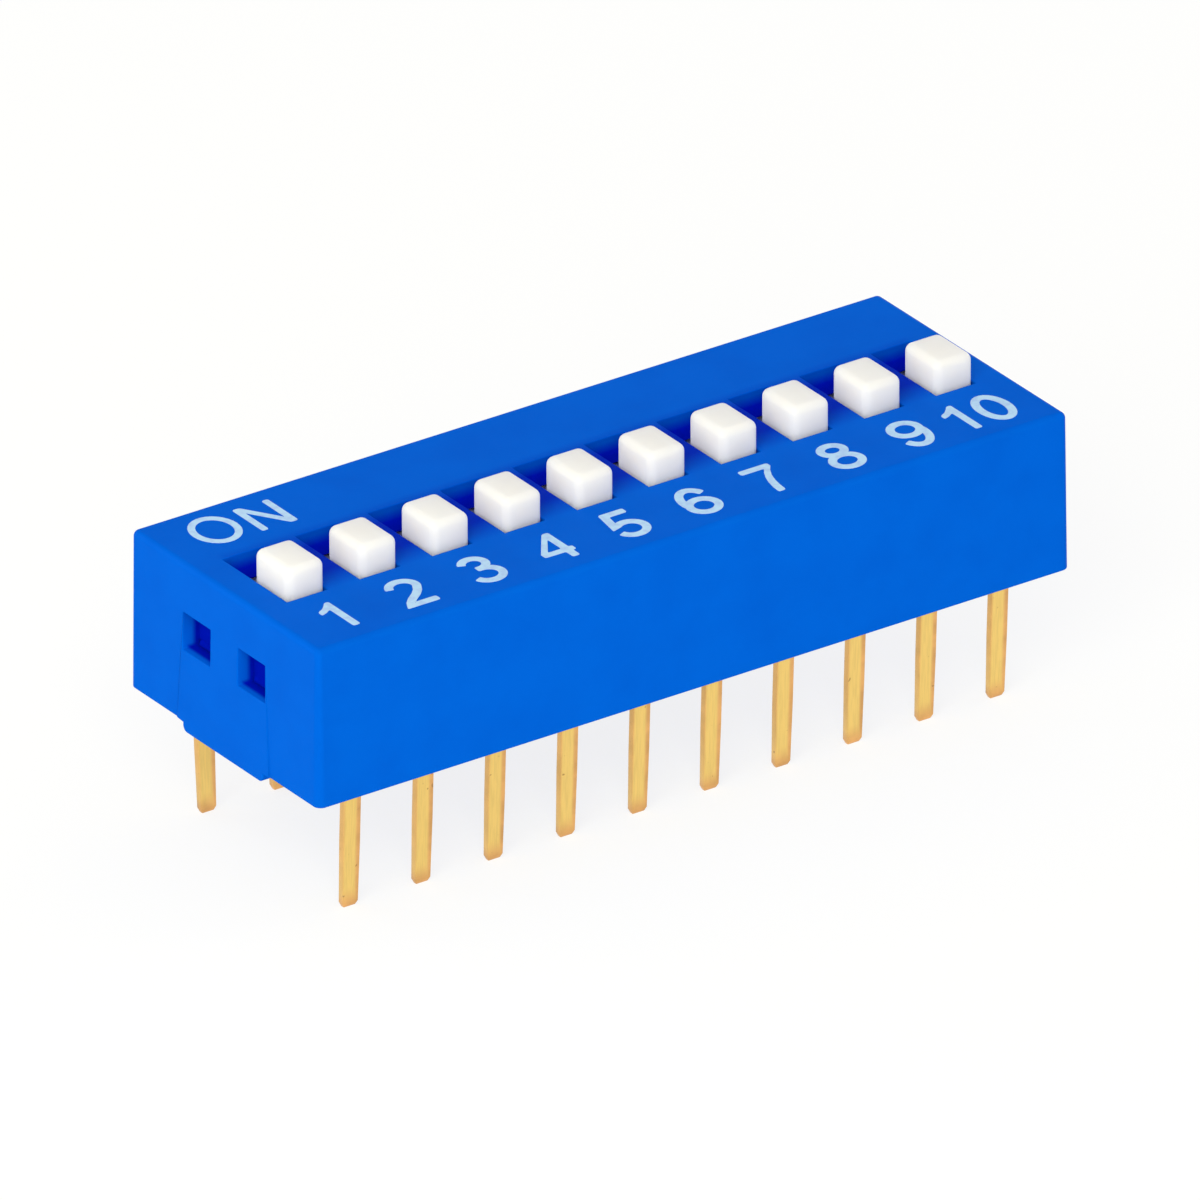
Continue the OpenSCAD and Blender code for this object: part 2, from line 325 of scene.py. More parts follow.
def greater(tree, first, second):
    """The greater of two values."""
    node = tree.nodes.new("ShaderNodeMath")
    node.operation = "MAXIMUM"
    tree.links.new(first, node.inputs[0])
    tree.links.new(second, node.inputs[1])
    return node.outputs["Value"]


def shade(colour, share):
    """A colour at a share of its strength, and never above full strength."""
    return tuple(min(1.0, share * channel) for channel in colour)


def add_bump(tree, shader, height, strength, depth):
    """Raises the surface by depth metres where height is 1."""
    node = tree.nodes.new("ShaderNodeBump")
    node.inputs["Strength"].default_value = strength
    node.inputs["Distance"].default_value = depth
    tree.links.new(height, node.inputs["Height"])
    tree.links.new(node.outputs["Normal"], shader.inputs["Normal"])


# ---- Materials ----


def within(tree, lowest, highest, fade):
    """0 outside a box, climbing to 1 over the first fade metres inside it."""
    centre, half = (lowest + highest) / 2, (highest - lowest) / 2
    shift = tree.nodes.new("ShaderNodeVectorMath")
    shift.operation = "SUBTRACT"
    shift.inputs[1].default_value = centre
    tree.links.new(object_coordinates(tree), shift.inputs[0])
    size = tree.nodes.new("ShaderNodeVectorMath")
    size.operation = "ABSOLUTE"
    tree.links.new(shift.outputs["Vector"], size.inputs[0])
    depth = tree.nodes.new("ShaderNodeVectorMath")
    depth.operation = "SUBTRACT"
    depth.inputs[0].default_value = half
    tree.links.new(size.outputs["Vector"], depth.inputs[1])
    parts = tree.nodes.new("ShaderNodeSeparateXYZ")
    tree.links.new(depth.outputs["Vector"], parts.inputs["Vector"])
    least = parts.outputs["X"]
    for axis in ("Y", "Z"):
        lesser = tree.nodes.new("ShaderNodeMath")
        lesser.operation = "MINIMUM"
        tree.links.new(least, lesser.inputs[0])
        tree.links.new(parts.outputs[axis], lesser.inputs[1])
        least = lesser.outputs["Value"]
    deepen = tree.nodes.new("ShaderNodeMapRange")
    deepen.inputs["From Max"].default_value = fade
    tree.links.new(least, deepen.inputs["Value"])
    return deepen.outputs["Result"]


def moulded_plastic(name, light, deep, grain, specular, roughness, painted_shade_boxes=()):
    """Moulded plastic, mottled by the melt's flow and finely grained, with painted shade inside
    given boxes.
    """
    flow_size, grain_depth = 1.6 * MM, 0.01 * MM
    smoother, rougher = 0.06, 0.08
    material, shader = new_material(name, roughness, specular)
    tree = material.node_tree
    vector = object_coordinates(tree)
    flow = noise(tree, vector, flow_size, detail=4.0)
    colour = ramp(tree, flow, [(NOISE_LOW, deep), (0.62, light)])
    fine = noise(tree, vector, grain, detail=3.0)
    # Each box paints its shade tone over the colour, fading in from the box's faces
    for lowest, highest, fade, tone in painted_shade_boxes:
        shaded_tone = ramp(tree, fine, [(NOISE_LOW, shade(tone, 0.9)), (NOISE_HIGH, tuple(tone))])
        colour = blend_colours(tree, within(tree, lowest, highest, fade), colour, shaded_tone)
    tree.links.new(colour, shader.inputs["Base Color"])
    tree.links.new(spread(tree, fine, roughness - smoother, roughness + rougher),
                   shader.inputs["Roughness"])
    add_bump(tree, shader, fine, strength=0.25, depth=grain_depth)
    return material


def recess(half_length, across, levels, fade, tone):
    """A box that is centred along the part, and the painted shade tone that a moulding takes inside
    it.
    """
    lowest = Vector((-half_length, across[0], levels[0]))
    highest = Vector((half_length, across[1], levels[1]))
    return lowest, highest, fade, tone


def cover_recesses(looks):
    """The boxes of painted shade on the blue mouldings, each over the ones before it."""
    lowest, highest = (Vector(corner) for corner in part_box("cover"))
    # Painted shadow of the knobs on the lands between the slots
    lands = recess(
        half_length=POLES * PITCH / 2 - 0.5 * MM, across=(-1.7 * MM, 2.0 * MM),
        levels=(COVER_TOP - 2.0 * MM, COVER_TOP + 2.0 * MM), fade=1.1 * MM, tone=looks.land_colour,
    )
    # Painted shade inside the slots, deepening downwards
    slots = recess(
        half_length=highest.x - 0.8 * MM, across=(lowest.y + 0.13 * MM, highest.y - 0.13 * MM),
        levels=(lowest.z + 0.7 * MM, COVER_TOP - 0.16 * MM), fade=0.34 * MM,
        tone=looks.recess_colour,
    )
    # Painted shade inside the latch windows and, below, on their sills
    windows = recess(
        half_length=highest.x - 0.38 * MM, across=(-3.2 * MM, 3.2 * MM),
        levels=(2.2 * MM, 4.2 * MM), fade=0.16 * MM, tone=looks.window_colour,
    )
    sills = recess(
        half_length=highest.x - 0.2 * MM, across=(-2.3 * MM, 2.3 * MM),
        levels=(2.3 * MM, 2.72 * MM), fade=0.12 * MM, tone=looks.window_colour,
    )
    return [lands, slots, windows, sills]


def rise(tree, value, start, end):
    """0 at start and 1 at end, with a smooth climb between them."""
    node = tree.nodes.new("ShaderNodeMapRange")
    node.interpolation_type = "SMOOTHSTEP"
    node.inputs["From Min"].default_value = start
    node.inputs["From Max"].default_value = end
    tree.links.new(value, node.inputs["Value"])
    return node.outputs["Result"]


def strip_edges(tree):
    """1 at a terminal's sheared edges and at its tip, and 0 over the middle of its face; it masks
    the painted reflection at the edges.
    """
    bright_middle, bright_half, reflection_half = -0.07 * MM, 0.15 * MM, 0.27 * MM
    tip_start, tip_end = 0.75 * MM, 0.05 * MM
    parts = tree.nodes.new("ShaderNodeSeparateXYZ")
    tree.links.new(object_coordinates(tree), parts.inputs["Vector"])
    # Distance from the bright middle of the nearest terminal, in pitches; the bright middle sits
    # off centre, as the painted reflection does
    value = parts.outputs["X"]
    for operation, number in (
        ("MULTIPLY", 1 / PITCH), ("ADD", MIDDLE_POLE + 0.5 - bright_middle / PITCH),
        ("FRACT", 0.0), ("SUBTRACT", 0.5), ("ABSOLUTE", 0.0),
    ):
        step = tree.nodes.new("ShaderNodeMath")
        step.operation = operation
        step.inputs[1].default_value = number
        tree.links.new(value, step.inputs[0])
        value = step.outputs["Value"]
    edge = rise(tree, value, bright_half / PITCH, reflection_half / PITCH)
    tip = rise(tree, parts.outputs["Z"], PIN_TIPS + tip_start, PIN_TIPS + tip_end)
    return greater(tree, edge, tip)


def plated_strip(name, gold, tarnish, streak):
    """Gold-plated strip: streaks drawn along Z, a painted reflection that browns the sheared edges,
    browner tips, and a few dark specks.
    """
    patch_size, speck_size, streak_depth = 0.6 * MM, 0.2 * MM, 0.003 * MM
    clear, specked = (0.0, 0.0, 0.0), (0.7, 0.7, 0.7)
    speck_dark, speck_pale = (0.30, 0.15, 0.05), (0.38, 0.20, 0.07)
    along_z = (1.0, 1.0, 0.05)
    material, shader = new_material(name, roughness=0.32, specular=0.5, metallic=1.0)
    tree = material.node_tree
    drawn = noise(tree, object_coordinates(tree, along_z), streak, detail=2.0)
    patch = noise(tree, object_coordinates(tree), patch_size, detail=3.0)
    grains = noise(tree, object_coordinates(tree), speck_size, detail=1.0)
    plating = ramp(tree, drawn, [(NOISE_LOW, shade(gold, 0.9)), (0.6, gold)])
    # Painted reflection at the sheared edges, and the same browner tone towards the tips
    reflection_and_tip = ramp(tree, patch, [(0.35, tarnish), (0.65, shade(tarnish, 1.25))])
    plating_reflected = blend_colours(tree, strip_edges(tree), plating, reflection_and_tip)
    specks = ramp(tree, grains, [(0.74, clear), (0.79, specked)])
    speck_colour = ramp(tree, patch, [(0.0, speck_dark), (1.0, speck_pale)])
    tree.links.new(blend_colours(tree, specks, plating_reflected, speck_colour), shader.inputs["Base Color"])
    tree.links.new(spread(tree, drawn, 0.28, 0.42), shader.inputs["Roughness"])
    add_bump(tree, shader, drawn, strength=0.2, depth=streak_depth)
    return material


def printed_ink(name, colour):
    """Pad-printed ink, a little thinner in places so that the cover's blue comes through."""
    patch_size, grain_size, grain_depth = 0.22 * MM, 0.05 * MM, 0.003 * MM
    material, shader = new_material(name, roughness=0.45, specular=0.3)
    tree = material.node_tree
    vector = object_coordinates(tree)
    thin = (*shade(colour[:2], 0.82), *shade(colour[2:], 0.93))
    patches = noise(tree, vector, patch_size, detail=3.0)
    tree.links.new(ramp(tree, patches, [(0.32, thin), (0.56, tuple(colour))]),
                   shader.inputs["Base Color"])
    add_bump(tree, shader, noise(tree, vector, grain_size), strength=0.2, depth=grain_depth)
    return material


def dress(thing, material):
    """Gives a mesh one material and nothing else."""
    thing.data.materials.clear()
    thing.data.materials.append(material)


# ---- Modelling helpers ----


def deselect_all():
    bpy.ops.object.select_all(action="DESELECT")


def make_active(thing):
    deselect_all()
    thing.select_set(True)
    bpy.context.view_layer.objects.active = thing


def round_all_edges(piece, width, segments):
    """Rounds every sharp edge of a plain new piece, which is the active one."""
    rounding = piece.modifiers.new("Rounded edges", "BEVEL")
    rounding.width = width
    rounding.segments = segments
    bpy.ops.object.modifier_apply(modifier=rounding.name)
    bpy.ops.object.shade_smooth_by_angle(angle=SMOOTH_BELOW)


def keep_faces_flat(piece, keep_sharp=False):
    """Weights the normals of the active piece by its faces, so that flat faces look flat."""
    weights = piece.modifiers.new("Flat faces stay flat", "WEIGHTED_NORMAL")
    weights.keep_sharp = keep_sharp
    bpy.ops.object.modifier_apply(modifier=weights.name)


def soft_edged_copy(node, name, width):
    """A welded copy of a CAD node with its sharp edges rounded, which stands for the node."""
    weld, flat, sharp = 0.0005 * MM, math.radians(0.5), math.radians(50)
    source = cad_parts[node]
    piece = bpy.data.objects.new(name, source.data.copy())
    bpy.context.scene.collection.objects.link(piece)
    make_active(piece)
    bpy.ops.object.mode_set(mode="EDIT")
    bpy.ops.mesh.select_all(action="SELECT")
    bpy.ops.mesh.remove_doubles(threshold=weld)
    bpy.ops.mesh.dissolve_limited(angle_limit=flat)
    bpy.ops.object.mode_set(mode="OBJECT")
    bevel = piece.modifiers.new("Soft edges", "BEVEL")
    bevel.width = width
    bevel.segments = 3
    bevel.limit_method = "ANGLE"
    bevel.angle_limit = sharp
    bevel.use_clamp_overlap = False
    bpy.ops.object.modifier_apply(modifier=bevel.name)
    bpy.ops.object.shade_smooth_by_angle(angle=SMOOTH_BELOW)
    keep_faces_flat(piece, keep_sharp=True)
    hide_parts(node)
    return piece


def soft_knobbed_copy(node, name, radius, edge):
    """A soft-edged copy of an actuator whose knob is moulded again with a rounder edge."""
    above_cover, cut = COVER_TOP + 0.3 * MM, COVER_TOP - 1.0 * MM
    piece = soft_edged_copy(node, name, edge)
    proud = [vertex.co for vertex in piece.data.vertices if vertex.co.z > above_cover]
    lowest = Vector(tuple(min(point[axis] for point in proud) for axis in range(3)))
    highest = Vector(tuple(max(point[axis] for point in proud) for axis in range(3)))
    # The new knob's rounded foot is sunk in what the cut leaves
    lowest.z = cut - radius
    make_active(piece)
    bpy.ops.object.mode_set(mode="EDIT")
    bpy.ops.mesh.select_all(action="SELECT")
    bpy.ops.mesh.bisect(plane_co=(0.0, 0.0, cut), plane_no=(0.0, 0.0, 1.0),
                        use_fill=True, clear_outer=True, threshold=0.00001 * MM)
    bpy.ops.object.mode_set(mode="OBJECT")
    deselect_all()
    bpy.ops.mesh.primitive_cube_add(size=1.0)
    knob = bpy.context.object
    stretch = Matrix.Diagonal((*(highest - lowest), 1.0))
    knob.data.transform(Matrix.Translation((lowest + highest) / 2) @ stretch)
    round_all_edges(knob, radius, segments=8)
    keep_faces_flat(knob)
    piece.select_set(True)
    bpy.context.view_layer.objects.active = piece
    bpy.ops.object.join()
    return piece


# ---- Printed characters, drawn in a cell one cap height tall ----


def arc(centre, radii, start, end):
    """Points along an elliptical arc, whose start and end are in degrees."""
    spacing = 12
    steps = max(2, math.ceil(abs(end - start) / spacing))
    angles = [math.radians(start + (end - start) * step / steps) for step in range(steps + 1)]
    return [(centre[0] + radii[0] * math.cos(angle), centre[1] + radii[1] * math.sin(angle))
            for angle in angles]


def ring(centre, radii):
    """A closed stroke round an ellipse."""
    return "closed", arc(centre, radii, 0, 360)[:-1]


def line(*points):
    """An open stroke through points."""
    return "open", list(points)


def shape(*points):
    """A solid outline, drawn as it is."""
    return "solid", list(points)


# Width of each character's cell, and the strokes and shapes that are run together to draw it;
# what follows "hole" is left open in the shape before it
GLYPHS = {
    "0": (0.70, [ring((0.345, 0.5), (0.252, 0.428))]),
    "1": (0.70, [shape((0.483, 0.02), (0.483, 0.98), (0.395, 0.98), (0.325, 0.89), (0.24, 0.81),
                       (0.12, 0.75), (0.12, 0.62), (0.23, 0.66), (0.343, 0.735), (0.343, 0.02))]),
    "2": (0.70, [line(*arc((0.345, 0.715), (0.248, 0.213), 175, -30), (0.50, 0.50), (0.39, 0.385),
                      (0.23, 0.26), (0.125, 0.15), (0.085, 0.072), (0.63, 0.072))]),
    "3": (0.70, [line(*arc((0.33, 0.734), (0.215, 0.194), 165, -90), (0.26, 0.54)),
                 line(*arc((0.335, 0.306), (0.262, 0.234), 90, -165))]),
    "4": (0.70, [shape((0.395, 0.01), (0.54, 0.01), (0.54, 0.225), (0.61, 0.225), (0.61, 0.36),
                       (0.54, 0.36), (0.54, 0.975), (0.415, 0.975), (-0.02, 0.36), (-0.02, 0.225),
                       (0.395, 0.225)),
                 "hole", shape((0.395, 0.36), (0.395, 0.77), (0.12, 0.36))]),
    "5": (0.70, [line((0.61, 0.928), (0.18, 0.928), (0.108, 0.492),
                      *arc((0.335, 0.318), (0.262, 0.246), 128, -163))]),
    "6": (0.70, [line(*arc((0.36, 0.5), (0.272, 0.428), 32, 195)),
                 ring((0.348, 0.315), (0.257, 0.243))]),
    "7": (0.70, [shape((0.025, 0.99), (0.635, 0.99), (0.635, 0.88), (0.54, 0.75), (0.455, 0.58),
                       (0.395, 0.38), (0.365, 0.2), (0.35, 0.01), (0.205, 0.01), (0.22, 0.2),
                       (0.26, 0.4), (0.32, 0.57), (0.40, 0.73), (0.485, 0.846), (0.025, 0.846))]),
    "8": (0.70, [ring((0.345, 0.745), (0.212, 0.183)), ring((0.348, 0.302), (0.262, 0.23))]),
    "9": (0.70, [line(*arc((0.32, 0.5), (0.272, 0.428), -148, 15)),
                 ring((0.335, 0.685), (0.257, 0.243))]),
    "O": (1.087, [ring((0.456, 0.51), (0.379, 0.445))]),
    "N": (0.73, [shape((0.0, 0.015), (0.128, 0.015), (0.128, 0.73), (0.585, 0.015),
                       (0.727, 0.015), (0.727, 0.935), (0.599, 0.935), (0.599, 0.22),
                       (0.142, 0.935), (0.0, 0.935))]),
}


def one_side(points, offset, closed):
    """Points at a constant offset to the left of a stroke, with mitred corners."""
    shortest_mitre = 0.5
    side = []
    for index, point in enumerate(points):
        before = points[index - 1] if closed or index else point
        after = points[(index + 1) % len(points)] if closed or index < len(points) - 1 else point
        came = Vector((point[0] - before[0], point[1] - before[1]))
        goes = Vector((after[0] - point[0], after[1] - point[1]))
        if not came.length:
            came = goes
        if not goes.length:
            goes = came
        came, goes = came.normalized(), goes.normalized()
        left = Vector((-came.y - goes.y, came.x + goes.x)).normalized()
        reach = offset / max(shortest_mitre, left.dot(Vector((-came.y, came.x))))
        side.append((point[0] + left.x * reach, point[1] + left.y * reach))
    return side


def outlines(kind, points, half):
    """The closed outlines of a stroke, half its width on each side, or of a solid shape."""
    if kind == "solid":
        return [points]
    closed = kind == "closed"
    left, right = one_side(points, half, closed), one_side(points, -half, closed)
    return [left, right] if closed else [left + right[::-1]]


def softened(outline, reach):
    """An outline whose sharp corners are rounded from reach before each to reach after it."""
    nothing, sharp, steps = 1e-6, math.radians(40), 4
    soft = []
    for index, point in enumerate(outline):
        corner = Vector(point)
        came = corner - Vector(outline[index - 1])
        goes = Vector(outline[(index + 1) % len(outline)]) - corner
        if min(came.length, goes.length) < nothing or came.angle(goes) < sharp:
            soft.append(point)
            continue
        near = min(reach, came.length / 2, goes.length / 2)
        start, end = corner - came.normalized() * near, corner + goes.normalized() * near
        for step in range(steps + 1):
            t = step / steps
            soft.append(tuple(start * (1 - t) ** 2 + corner * 2 * t * (1 - t) + end * t ** 2))
    return soft


def inked(name, drawn, height, thick):
    """A thin slab of ink, in millimetres, inside closed outlines; one in another is a hole."""
    weld = 0.0001
    deselect_all()
    bpy.ops.curve.primitive_bezier_circle_add()
    piece = bpy.context.object
    piece.name = name
    lines = piece.data
    lines.splines.clear()
    lines.dimensions = "2D"
    lines.fill_mode = "BOTH"
    lines.extrude = thick / 2
    for points in drawn:
        spline = lines.splines.new("POLY")
        spline.points.add(len(points) - 1)
        for point, (x, y) in zip(spline.points, points):
            point.co = (x * height, y * height, 0.0, 1.0)
        spline.use_cyclic_u = True
    bpy.ops.object.convert(target="MESH")
    bpy.ops.object.mode_set(mode="EDIT")
    bpy.ops.mesh.select_all(action="SELECT")
    bpy.ops.mesh.remove_doubles(threshold=weld)
    bpy.ops.mesh.normals_make_consistent(inside=False)
    bpy.ops.object.mode_set(mode="OBJECT")
    return bpy.context.object


def run_together(piece, other):
    """Unites two slabs of ink and removes the second."""
    make_active(piece)
    union = piece.modifiers.new("Run together", "BOOLEAN")
    union.operation = "UNION"
    union.object = other
    bpy.ops.object.modifier_apply(modifier=union.name)
    make_active(other)
    bpy.ops.object.delete()


def print_label(context, label, name, corner, stroke):
    """Prints a label on the cover's top as one piece, from its lower left corner on."""
    sizes = settings(context).print
    height, thick = sizes.cap_height / MM, sizes.ink_height / MM
    half, reach = stroke / sizes.cap_height / 2, sizes.corner_round / sizes.cap_height
    start = 0.0
    whole = None
    for character in label:
        width, parts = GLYPHS[character]
        slabs, is_hole = [], False
        for part in parts:
            if part == "hole":
                is_hole = True
                continue
            drawn = [[(x + start, y) for x, y in softened(outline, reach)]
                     for outline in outlines(*part, half)]
            if is_hole:
                slabs[-1] += drawn
            else:
                slabs.append(drawn)
        for drawn in slabs:
            slab = inked(name if whole is None else "wet_ink", drawn, height, thick)
            if whole is None:
                whole = slab
            else:
                run_together(whole, slab)
        start += width
    place = Matrix.Translation((corner[0], corner[1], COVER_TOP + sizes.ink_height / 2))
    whole.data.transform(place @ Matrix.Scale(MM, 4))
    whole.data.name = name
    return whole


# ---- Operators ----


class SwitchOperator(Operator):
    """An operator that can be undone"""

    bl_options = {"REGISTER", "UNDO"}


class SWITCH_OT_mould_cover(SwitchOperator):
    """Gives the cover its soft edges and its moulded blue finish"""

    bl_idname = "dip_switch.mould_cover"
    bl_label = "Mould Cover"

    def execute(self, context):
        looks = settings(context).plastics
        piece = soft_edged_copy("cover", "cover_shell", looks.edge_round)
        # The cover takes the painted shade of slots, lands, windows and sills
        blue = moulded_plastic("moulded_blue", looks.cover_colour, looks.cover_deep, looks.grain,
                               specular=0.006, roughness=0.35, painted_shade_boxes=cover_recesses(looks))
        dress(piece, blue)
        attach(piece, "housing")
        return {"FINISHED"}


class SWITCH_OT_mould_base(SwitchOperator):
    """Gives the base its moulded blue finish"""

    bl_idname = "dip_switch.mould_base"
    bl_label = "Mould Base"

    def execute(self, context):
        looks = settings(context).plastics
        # The base takes the cover's painted shade boxes too
        blue = moulded_plastic("moulded_blue_base", looks.cover_deep, looks.cover_deep, looks.grain,
                               specular=0.006, roughness=0.4, painted_shade_boxes=cover_recesses(looks))
        dress(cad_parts["base"], blue)
        return {"FINISHED"}


class SWITCH_OT_mould_latch_tips(SwitchOperator):
    """Moulds the thin tip of each latch arm, which closes its window from inside; the tips are dark
    with the windows' painted shade
    """

    bl_idname = "dip_switch.mould_latch_tips"
    bl_label = "Mould Latch Tips"

    def execute(self, context):
        looks = settings(context).plastics
        # Painted shade: the tips are coloured all over in the windows' shade tone, so that the
        # windows look deep
        blue = moulded_plastic("painted_shade_tips", looks.window_colour, looks.window_colour,
                               looks.grain, specular=0.006, roughness=0.4)
        # Size of a tip and the place of its middle, in millimetres
        thick, wide, high = 0.16, 1.73, 1.17
        out, apart, level = 12.54, 1.465, 3.185
        nose_edge, nose_height, edge = 0.27 * MM, 0.04 * MM, 0.03 * MM
        for end_name, end in (("left", -1), ("right", 1)):
            for side_name, side in (("front", -1), ("back", 1)):
                deselect_all()
                bpy.ops.mesh.primitive_cube_add(size=MM)
                piece = bpy.context.object
                piece.name = f"latch_tip_{end_name}_{side_name}"
                middle = Vector((end * out, side * apart, level)) * MM
                stretch = Matrix.Diagonal((thick, wide, high, 1.0))
                piece.data.transform(Matrix.Translation(middle) @ stretch)
                # The nose stands on the outward face
                for face in piece.data.polygons:
                    face.select = face.normal.x * end > 0.9
                bpy.ops.object.mode_set(mode="EDIT")
                bpy.ops.mesh.select_mode(type="FACE")
                bpy.ops.mesh.inset(thickness=nose_edge, depth=nose_height)
                bpy.ops.object.mode_set(mode="OBJECT")
                round_all_edges(piece, edge, segments=3)
                dress(piece, blue)
                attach(piece, "housing")
        return {"FINISHED"}


class SWITCH_OT_mould_actuators(SwitchOperator):
    """Gives each actuator its soft edges and its moulded white finish"""

    bl_idname = "dip_switch.mould_actuators"
    bl_label = "Mould Actuators"

    def execute(self, context):
        looks = settings(context).plastics
        # Painted shade: the feet under the cover take a bluish tone
        feet = recess(
            half_length=CAD_BOX[1].x, across=(CAD_BOX[0].y, CAD_BOX[1].y),
            levels=(PIN_TIPS, COVER_TOP - 0.92 * MM), fade=0.08 * MM, tone=looks.foot_colour,
        )
        white = moulded_plastic("moulded_white", looks.knob_colour, looks.knob_warm, looks.grain,
                                specular=0.08, roughness=0.5, painted_shade_boxes=[feet])
        shader = white.node_tree.nodes["Principled BSDF"]
        shader.inputs["Subsurface Weight"].default_value = 1.0
        shader.inputs["Subsurface Radius"].default_value = (1.0, 0.95, 0.9)
        shader.inputs["Subsurface Scale"].default_value = 1.4 * MM
        edge = 0.02 * MM
        for pole in range(1, POLES + 1):
            piece = soft_knobbed_copy(f"actuator_{pole}", f"knob_{pole}", looks.knob_round, edge)
            dress(piece, white)
            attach(piece, f"slider_{pole}")
        return {"FINISHED"}


class SWITCH_OT_plate_terminals(SwitchOperator):
    """Gives each terminal its soft edges and its plated finish"""

    bl_idname = "dip_switch.plate_terminals"
    bl_label = "Plate Terminals"

    def execute(self, context):
        looks = settings(context).metals
        gold = plated_strip("plated_strip", looks.gold, looks.tarnish, looks.streak)
        edge = 0.03 * MM
        for row in ("front", "back"):
            for pole in range(1, POLES + 1):
                piece = soft_edged_copy(f"terminal_{row}_{pole}", f"pin_{row}_{pole}", edge)
                dress(piece, gold)
                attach(piece, "housing")
        return {"FINISHED"}


class SWITCH_OT_plate_contacts(SwitchOperator):
    """Gives the spring contacts their plated finish"""

    bl_idname = "dip_switch.plate_contacts"
    bl_label = "Plate Contacts"

    def execute(self, context):
        looks = settings(context).metals
        gold = plated_strip("plated_spring", looks.gold, looks.gold, looks.streak)
        for pole in range(1, POLES + 1):
            dress(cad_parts[f"contact_{pole}"], gold)
        return {"FINISHED"}


class SWITCH_OT_print_numbers(SwitchOperator):
    """Prints a number beside each pole"""

    bl_idname = "dip_switch.print_numbers"
    bl_label = "Print Numbers"

    def execute(self, context):
        sizes = settings(context).print
        ink = printed_ink("printed_numbers", sizes.ink_colour)
        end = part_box("cover")[1].x - sizes.end_room
        for pole in range(1, POLES + 1):
            label = str(pole)
            width = sum(GLYPHS[digit][0] for digit in label) * sizes.cap_height
            middle = (pole - MIDDLE_POLE) * sizes.number_pitch + sizes.number_shift
            start = min(middle - width / 2, end - width)
            corner = (start, sizes.number_row - sizes.number_slope * start)
            piece = print_label(context, label, f"number_{pole}", corner, sizes.stroke)
            dress(piece, ink)
            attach(piece, "housing")
        return {"FINISHED"}


class SWITCH_OT_print_on(SwitchOperator):
    """Prints the word ON beside the far edge"""

    bl_idname = "dip_switch.print_on"
    bl_label = "Print ON"

    def execute(self, context):
        sizes = settings(context).print
        corner = (sizes.on_start, sizes.on_row)
        piece = print_label(context, "ON", "word_on", corner, sizes.on_stroke)
        dress(piece, printed_ink("printed_word", sizes.ink_colour))
        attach(piece, "housing")
        return {"FINISHED"}


# ---- Studio ----


def seen_directly(tree):
    """1 for camera, glossy and transmission rays, which see the backdrop as it is drawn."""
    path = tree.nodes.new("ShaderNodeLightPath")
    mirrored = greater(tree, path.outputs["Is Camera Ray"], path.outputs["Is Glossy Ray"])
    return greater(tree, mirrored, path.outputs["Is Transmission Ray"])


def light_world(sky):
    """An even, slightly blue sky that lights at the given level and shows as white."""
    world = bpy.data.worlds.new("studio_sky")
    bpy.context.scene.world = world
    world.use_nodes = True
    tree = world.node_tree
    lit = tree.nodes["Background"]
    lit.inputs["Color"].default_value = (0.97, 0.985, 1.06, 1.0)
    lit.inputs["Strength"].default_value = sky
    shown = tree.nodes.new("ShaderNodeBackground")
    shown.inputs["Color"].default_value = (1.0, 1.0, 1.0, 1.0)
    mix = tree.nodes.new("ShaderNodeMixShader")
    tree.links.new(seen_directly(tree), mix.inputs["Fac"])
    tree.links.new(lit.outputs["Background"], mix.inputs[1])
    tree.links.new(shown.outputs["Background"], mix.inputs[2])
    tree.links.new(mix.outputs["Shader"], tree.nodes["World Output"].inputs["Surface"])


def lay_floor(level):
    """A floor that lights the part as pale paper does, and shows as white with a faint shadow."""
    paper_tone, shadow_tone = (0.85, 0.85, 0.85, 1.0), (0.21, 0.21, 0.205, 1.0)
    own_light = 0.805
    bpy.ops.mesh.primitive_plane_add(size=2.0, location=(0.0, 0.0, level))
    floor = bpy.context.object
    floor.name = "studio_floor"
    material = bpy.data.materials.new("studio_white")
    material.use_nodes = True
    tree = material.node_tree
    tree.nodes.remove(tree.nodes["Principled BSDF"])
    paper = tree.nodes.new("ShaderNodeBsdfDiffuse")
    paper.inputs["Color"].default_value = paper_tone
    glow = tree.nodes.new("ShaderNodeEmission")
    glow.inputs["Strength"].default_value = own_light
    shadowed = tree.nodes.new("ShaderNodeBsdfDiffuse")
    shadowed.inputs["Color"].default_value = shadow_tone
    shown = tree.nodes.new("ShaderNodeAddShader")
    tree.links.new(shadowed.outputs["BSDF"], shown.inputs[0])
    tree.links.new(glow.outputs["Emission"], shown.inputs[1])
    mix = tree.nodes.new("ShaderNodeMixShader")
    tree.links.new(seen_directly(tree), mix.inputs["Fac"])
    tree.links.new(paper.outputs["BSDF"], mix.inputs[1])
    tree.links.new(shown.outputs["Shader"], mix.inputs[2])
    tree.links.new(mix.outputs["Shader"], tree.nodes["Material Output"].inputs["Surface"])
    dress(floor, material)


def hang_lamp(name, direction, size, power, tint):
    """A square lamp, size metres wide, that faces the part's middle."""
    distance = 0.3
    bpy.ops.object.light_add(type="AREA")
    lamp = bpy.context.object
    lamp.name = name
    toward = Vector(direction).normalized()
    lamp.location = toward * distance
    lamp.rotation_mode = "QUATERNION"
    lamp.rotation_quaternion = toward.to_track_quat("Z", "Y")
    lamp.data.size = size
    lamp.data.energy = power
    lamp.data.color = tint


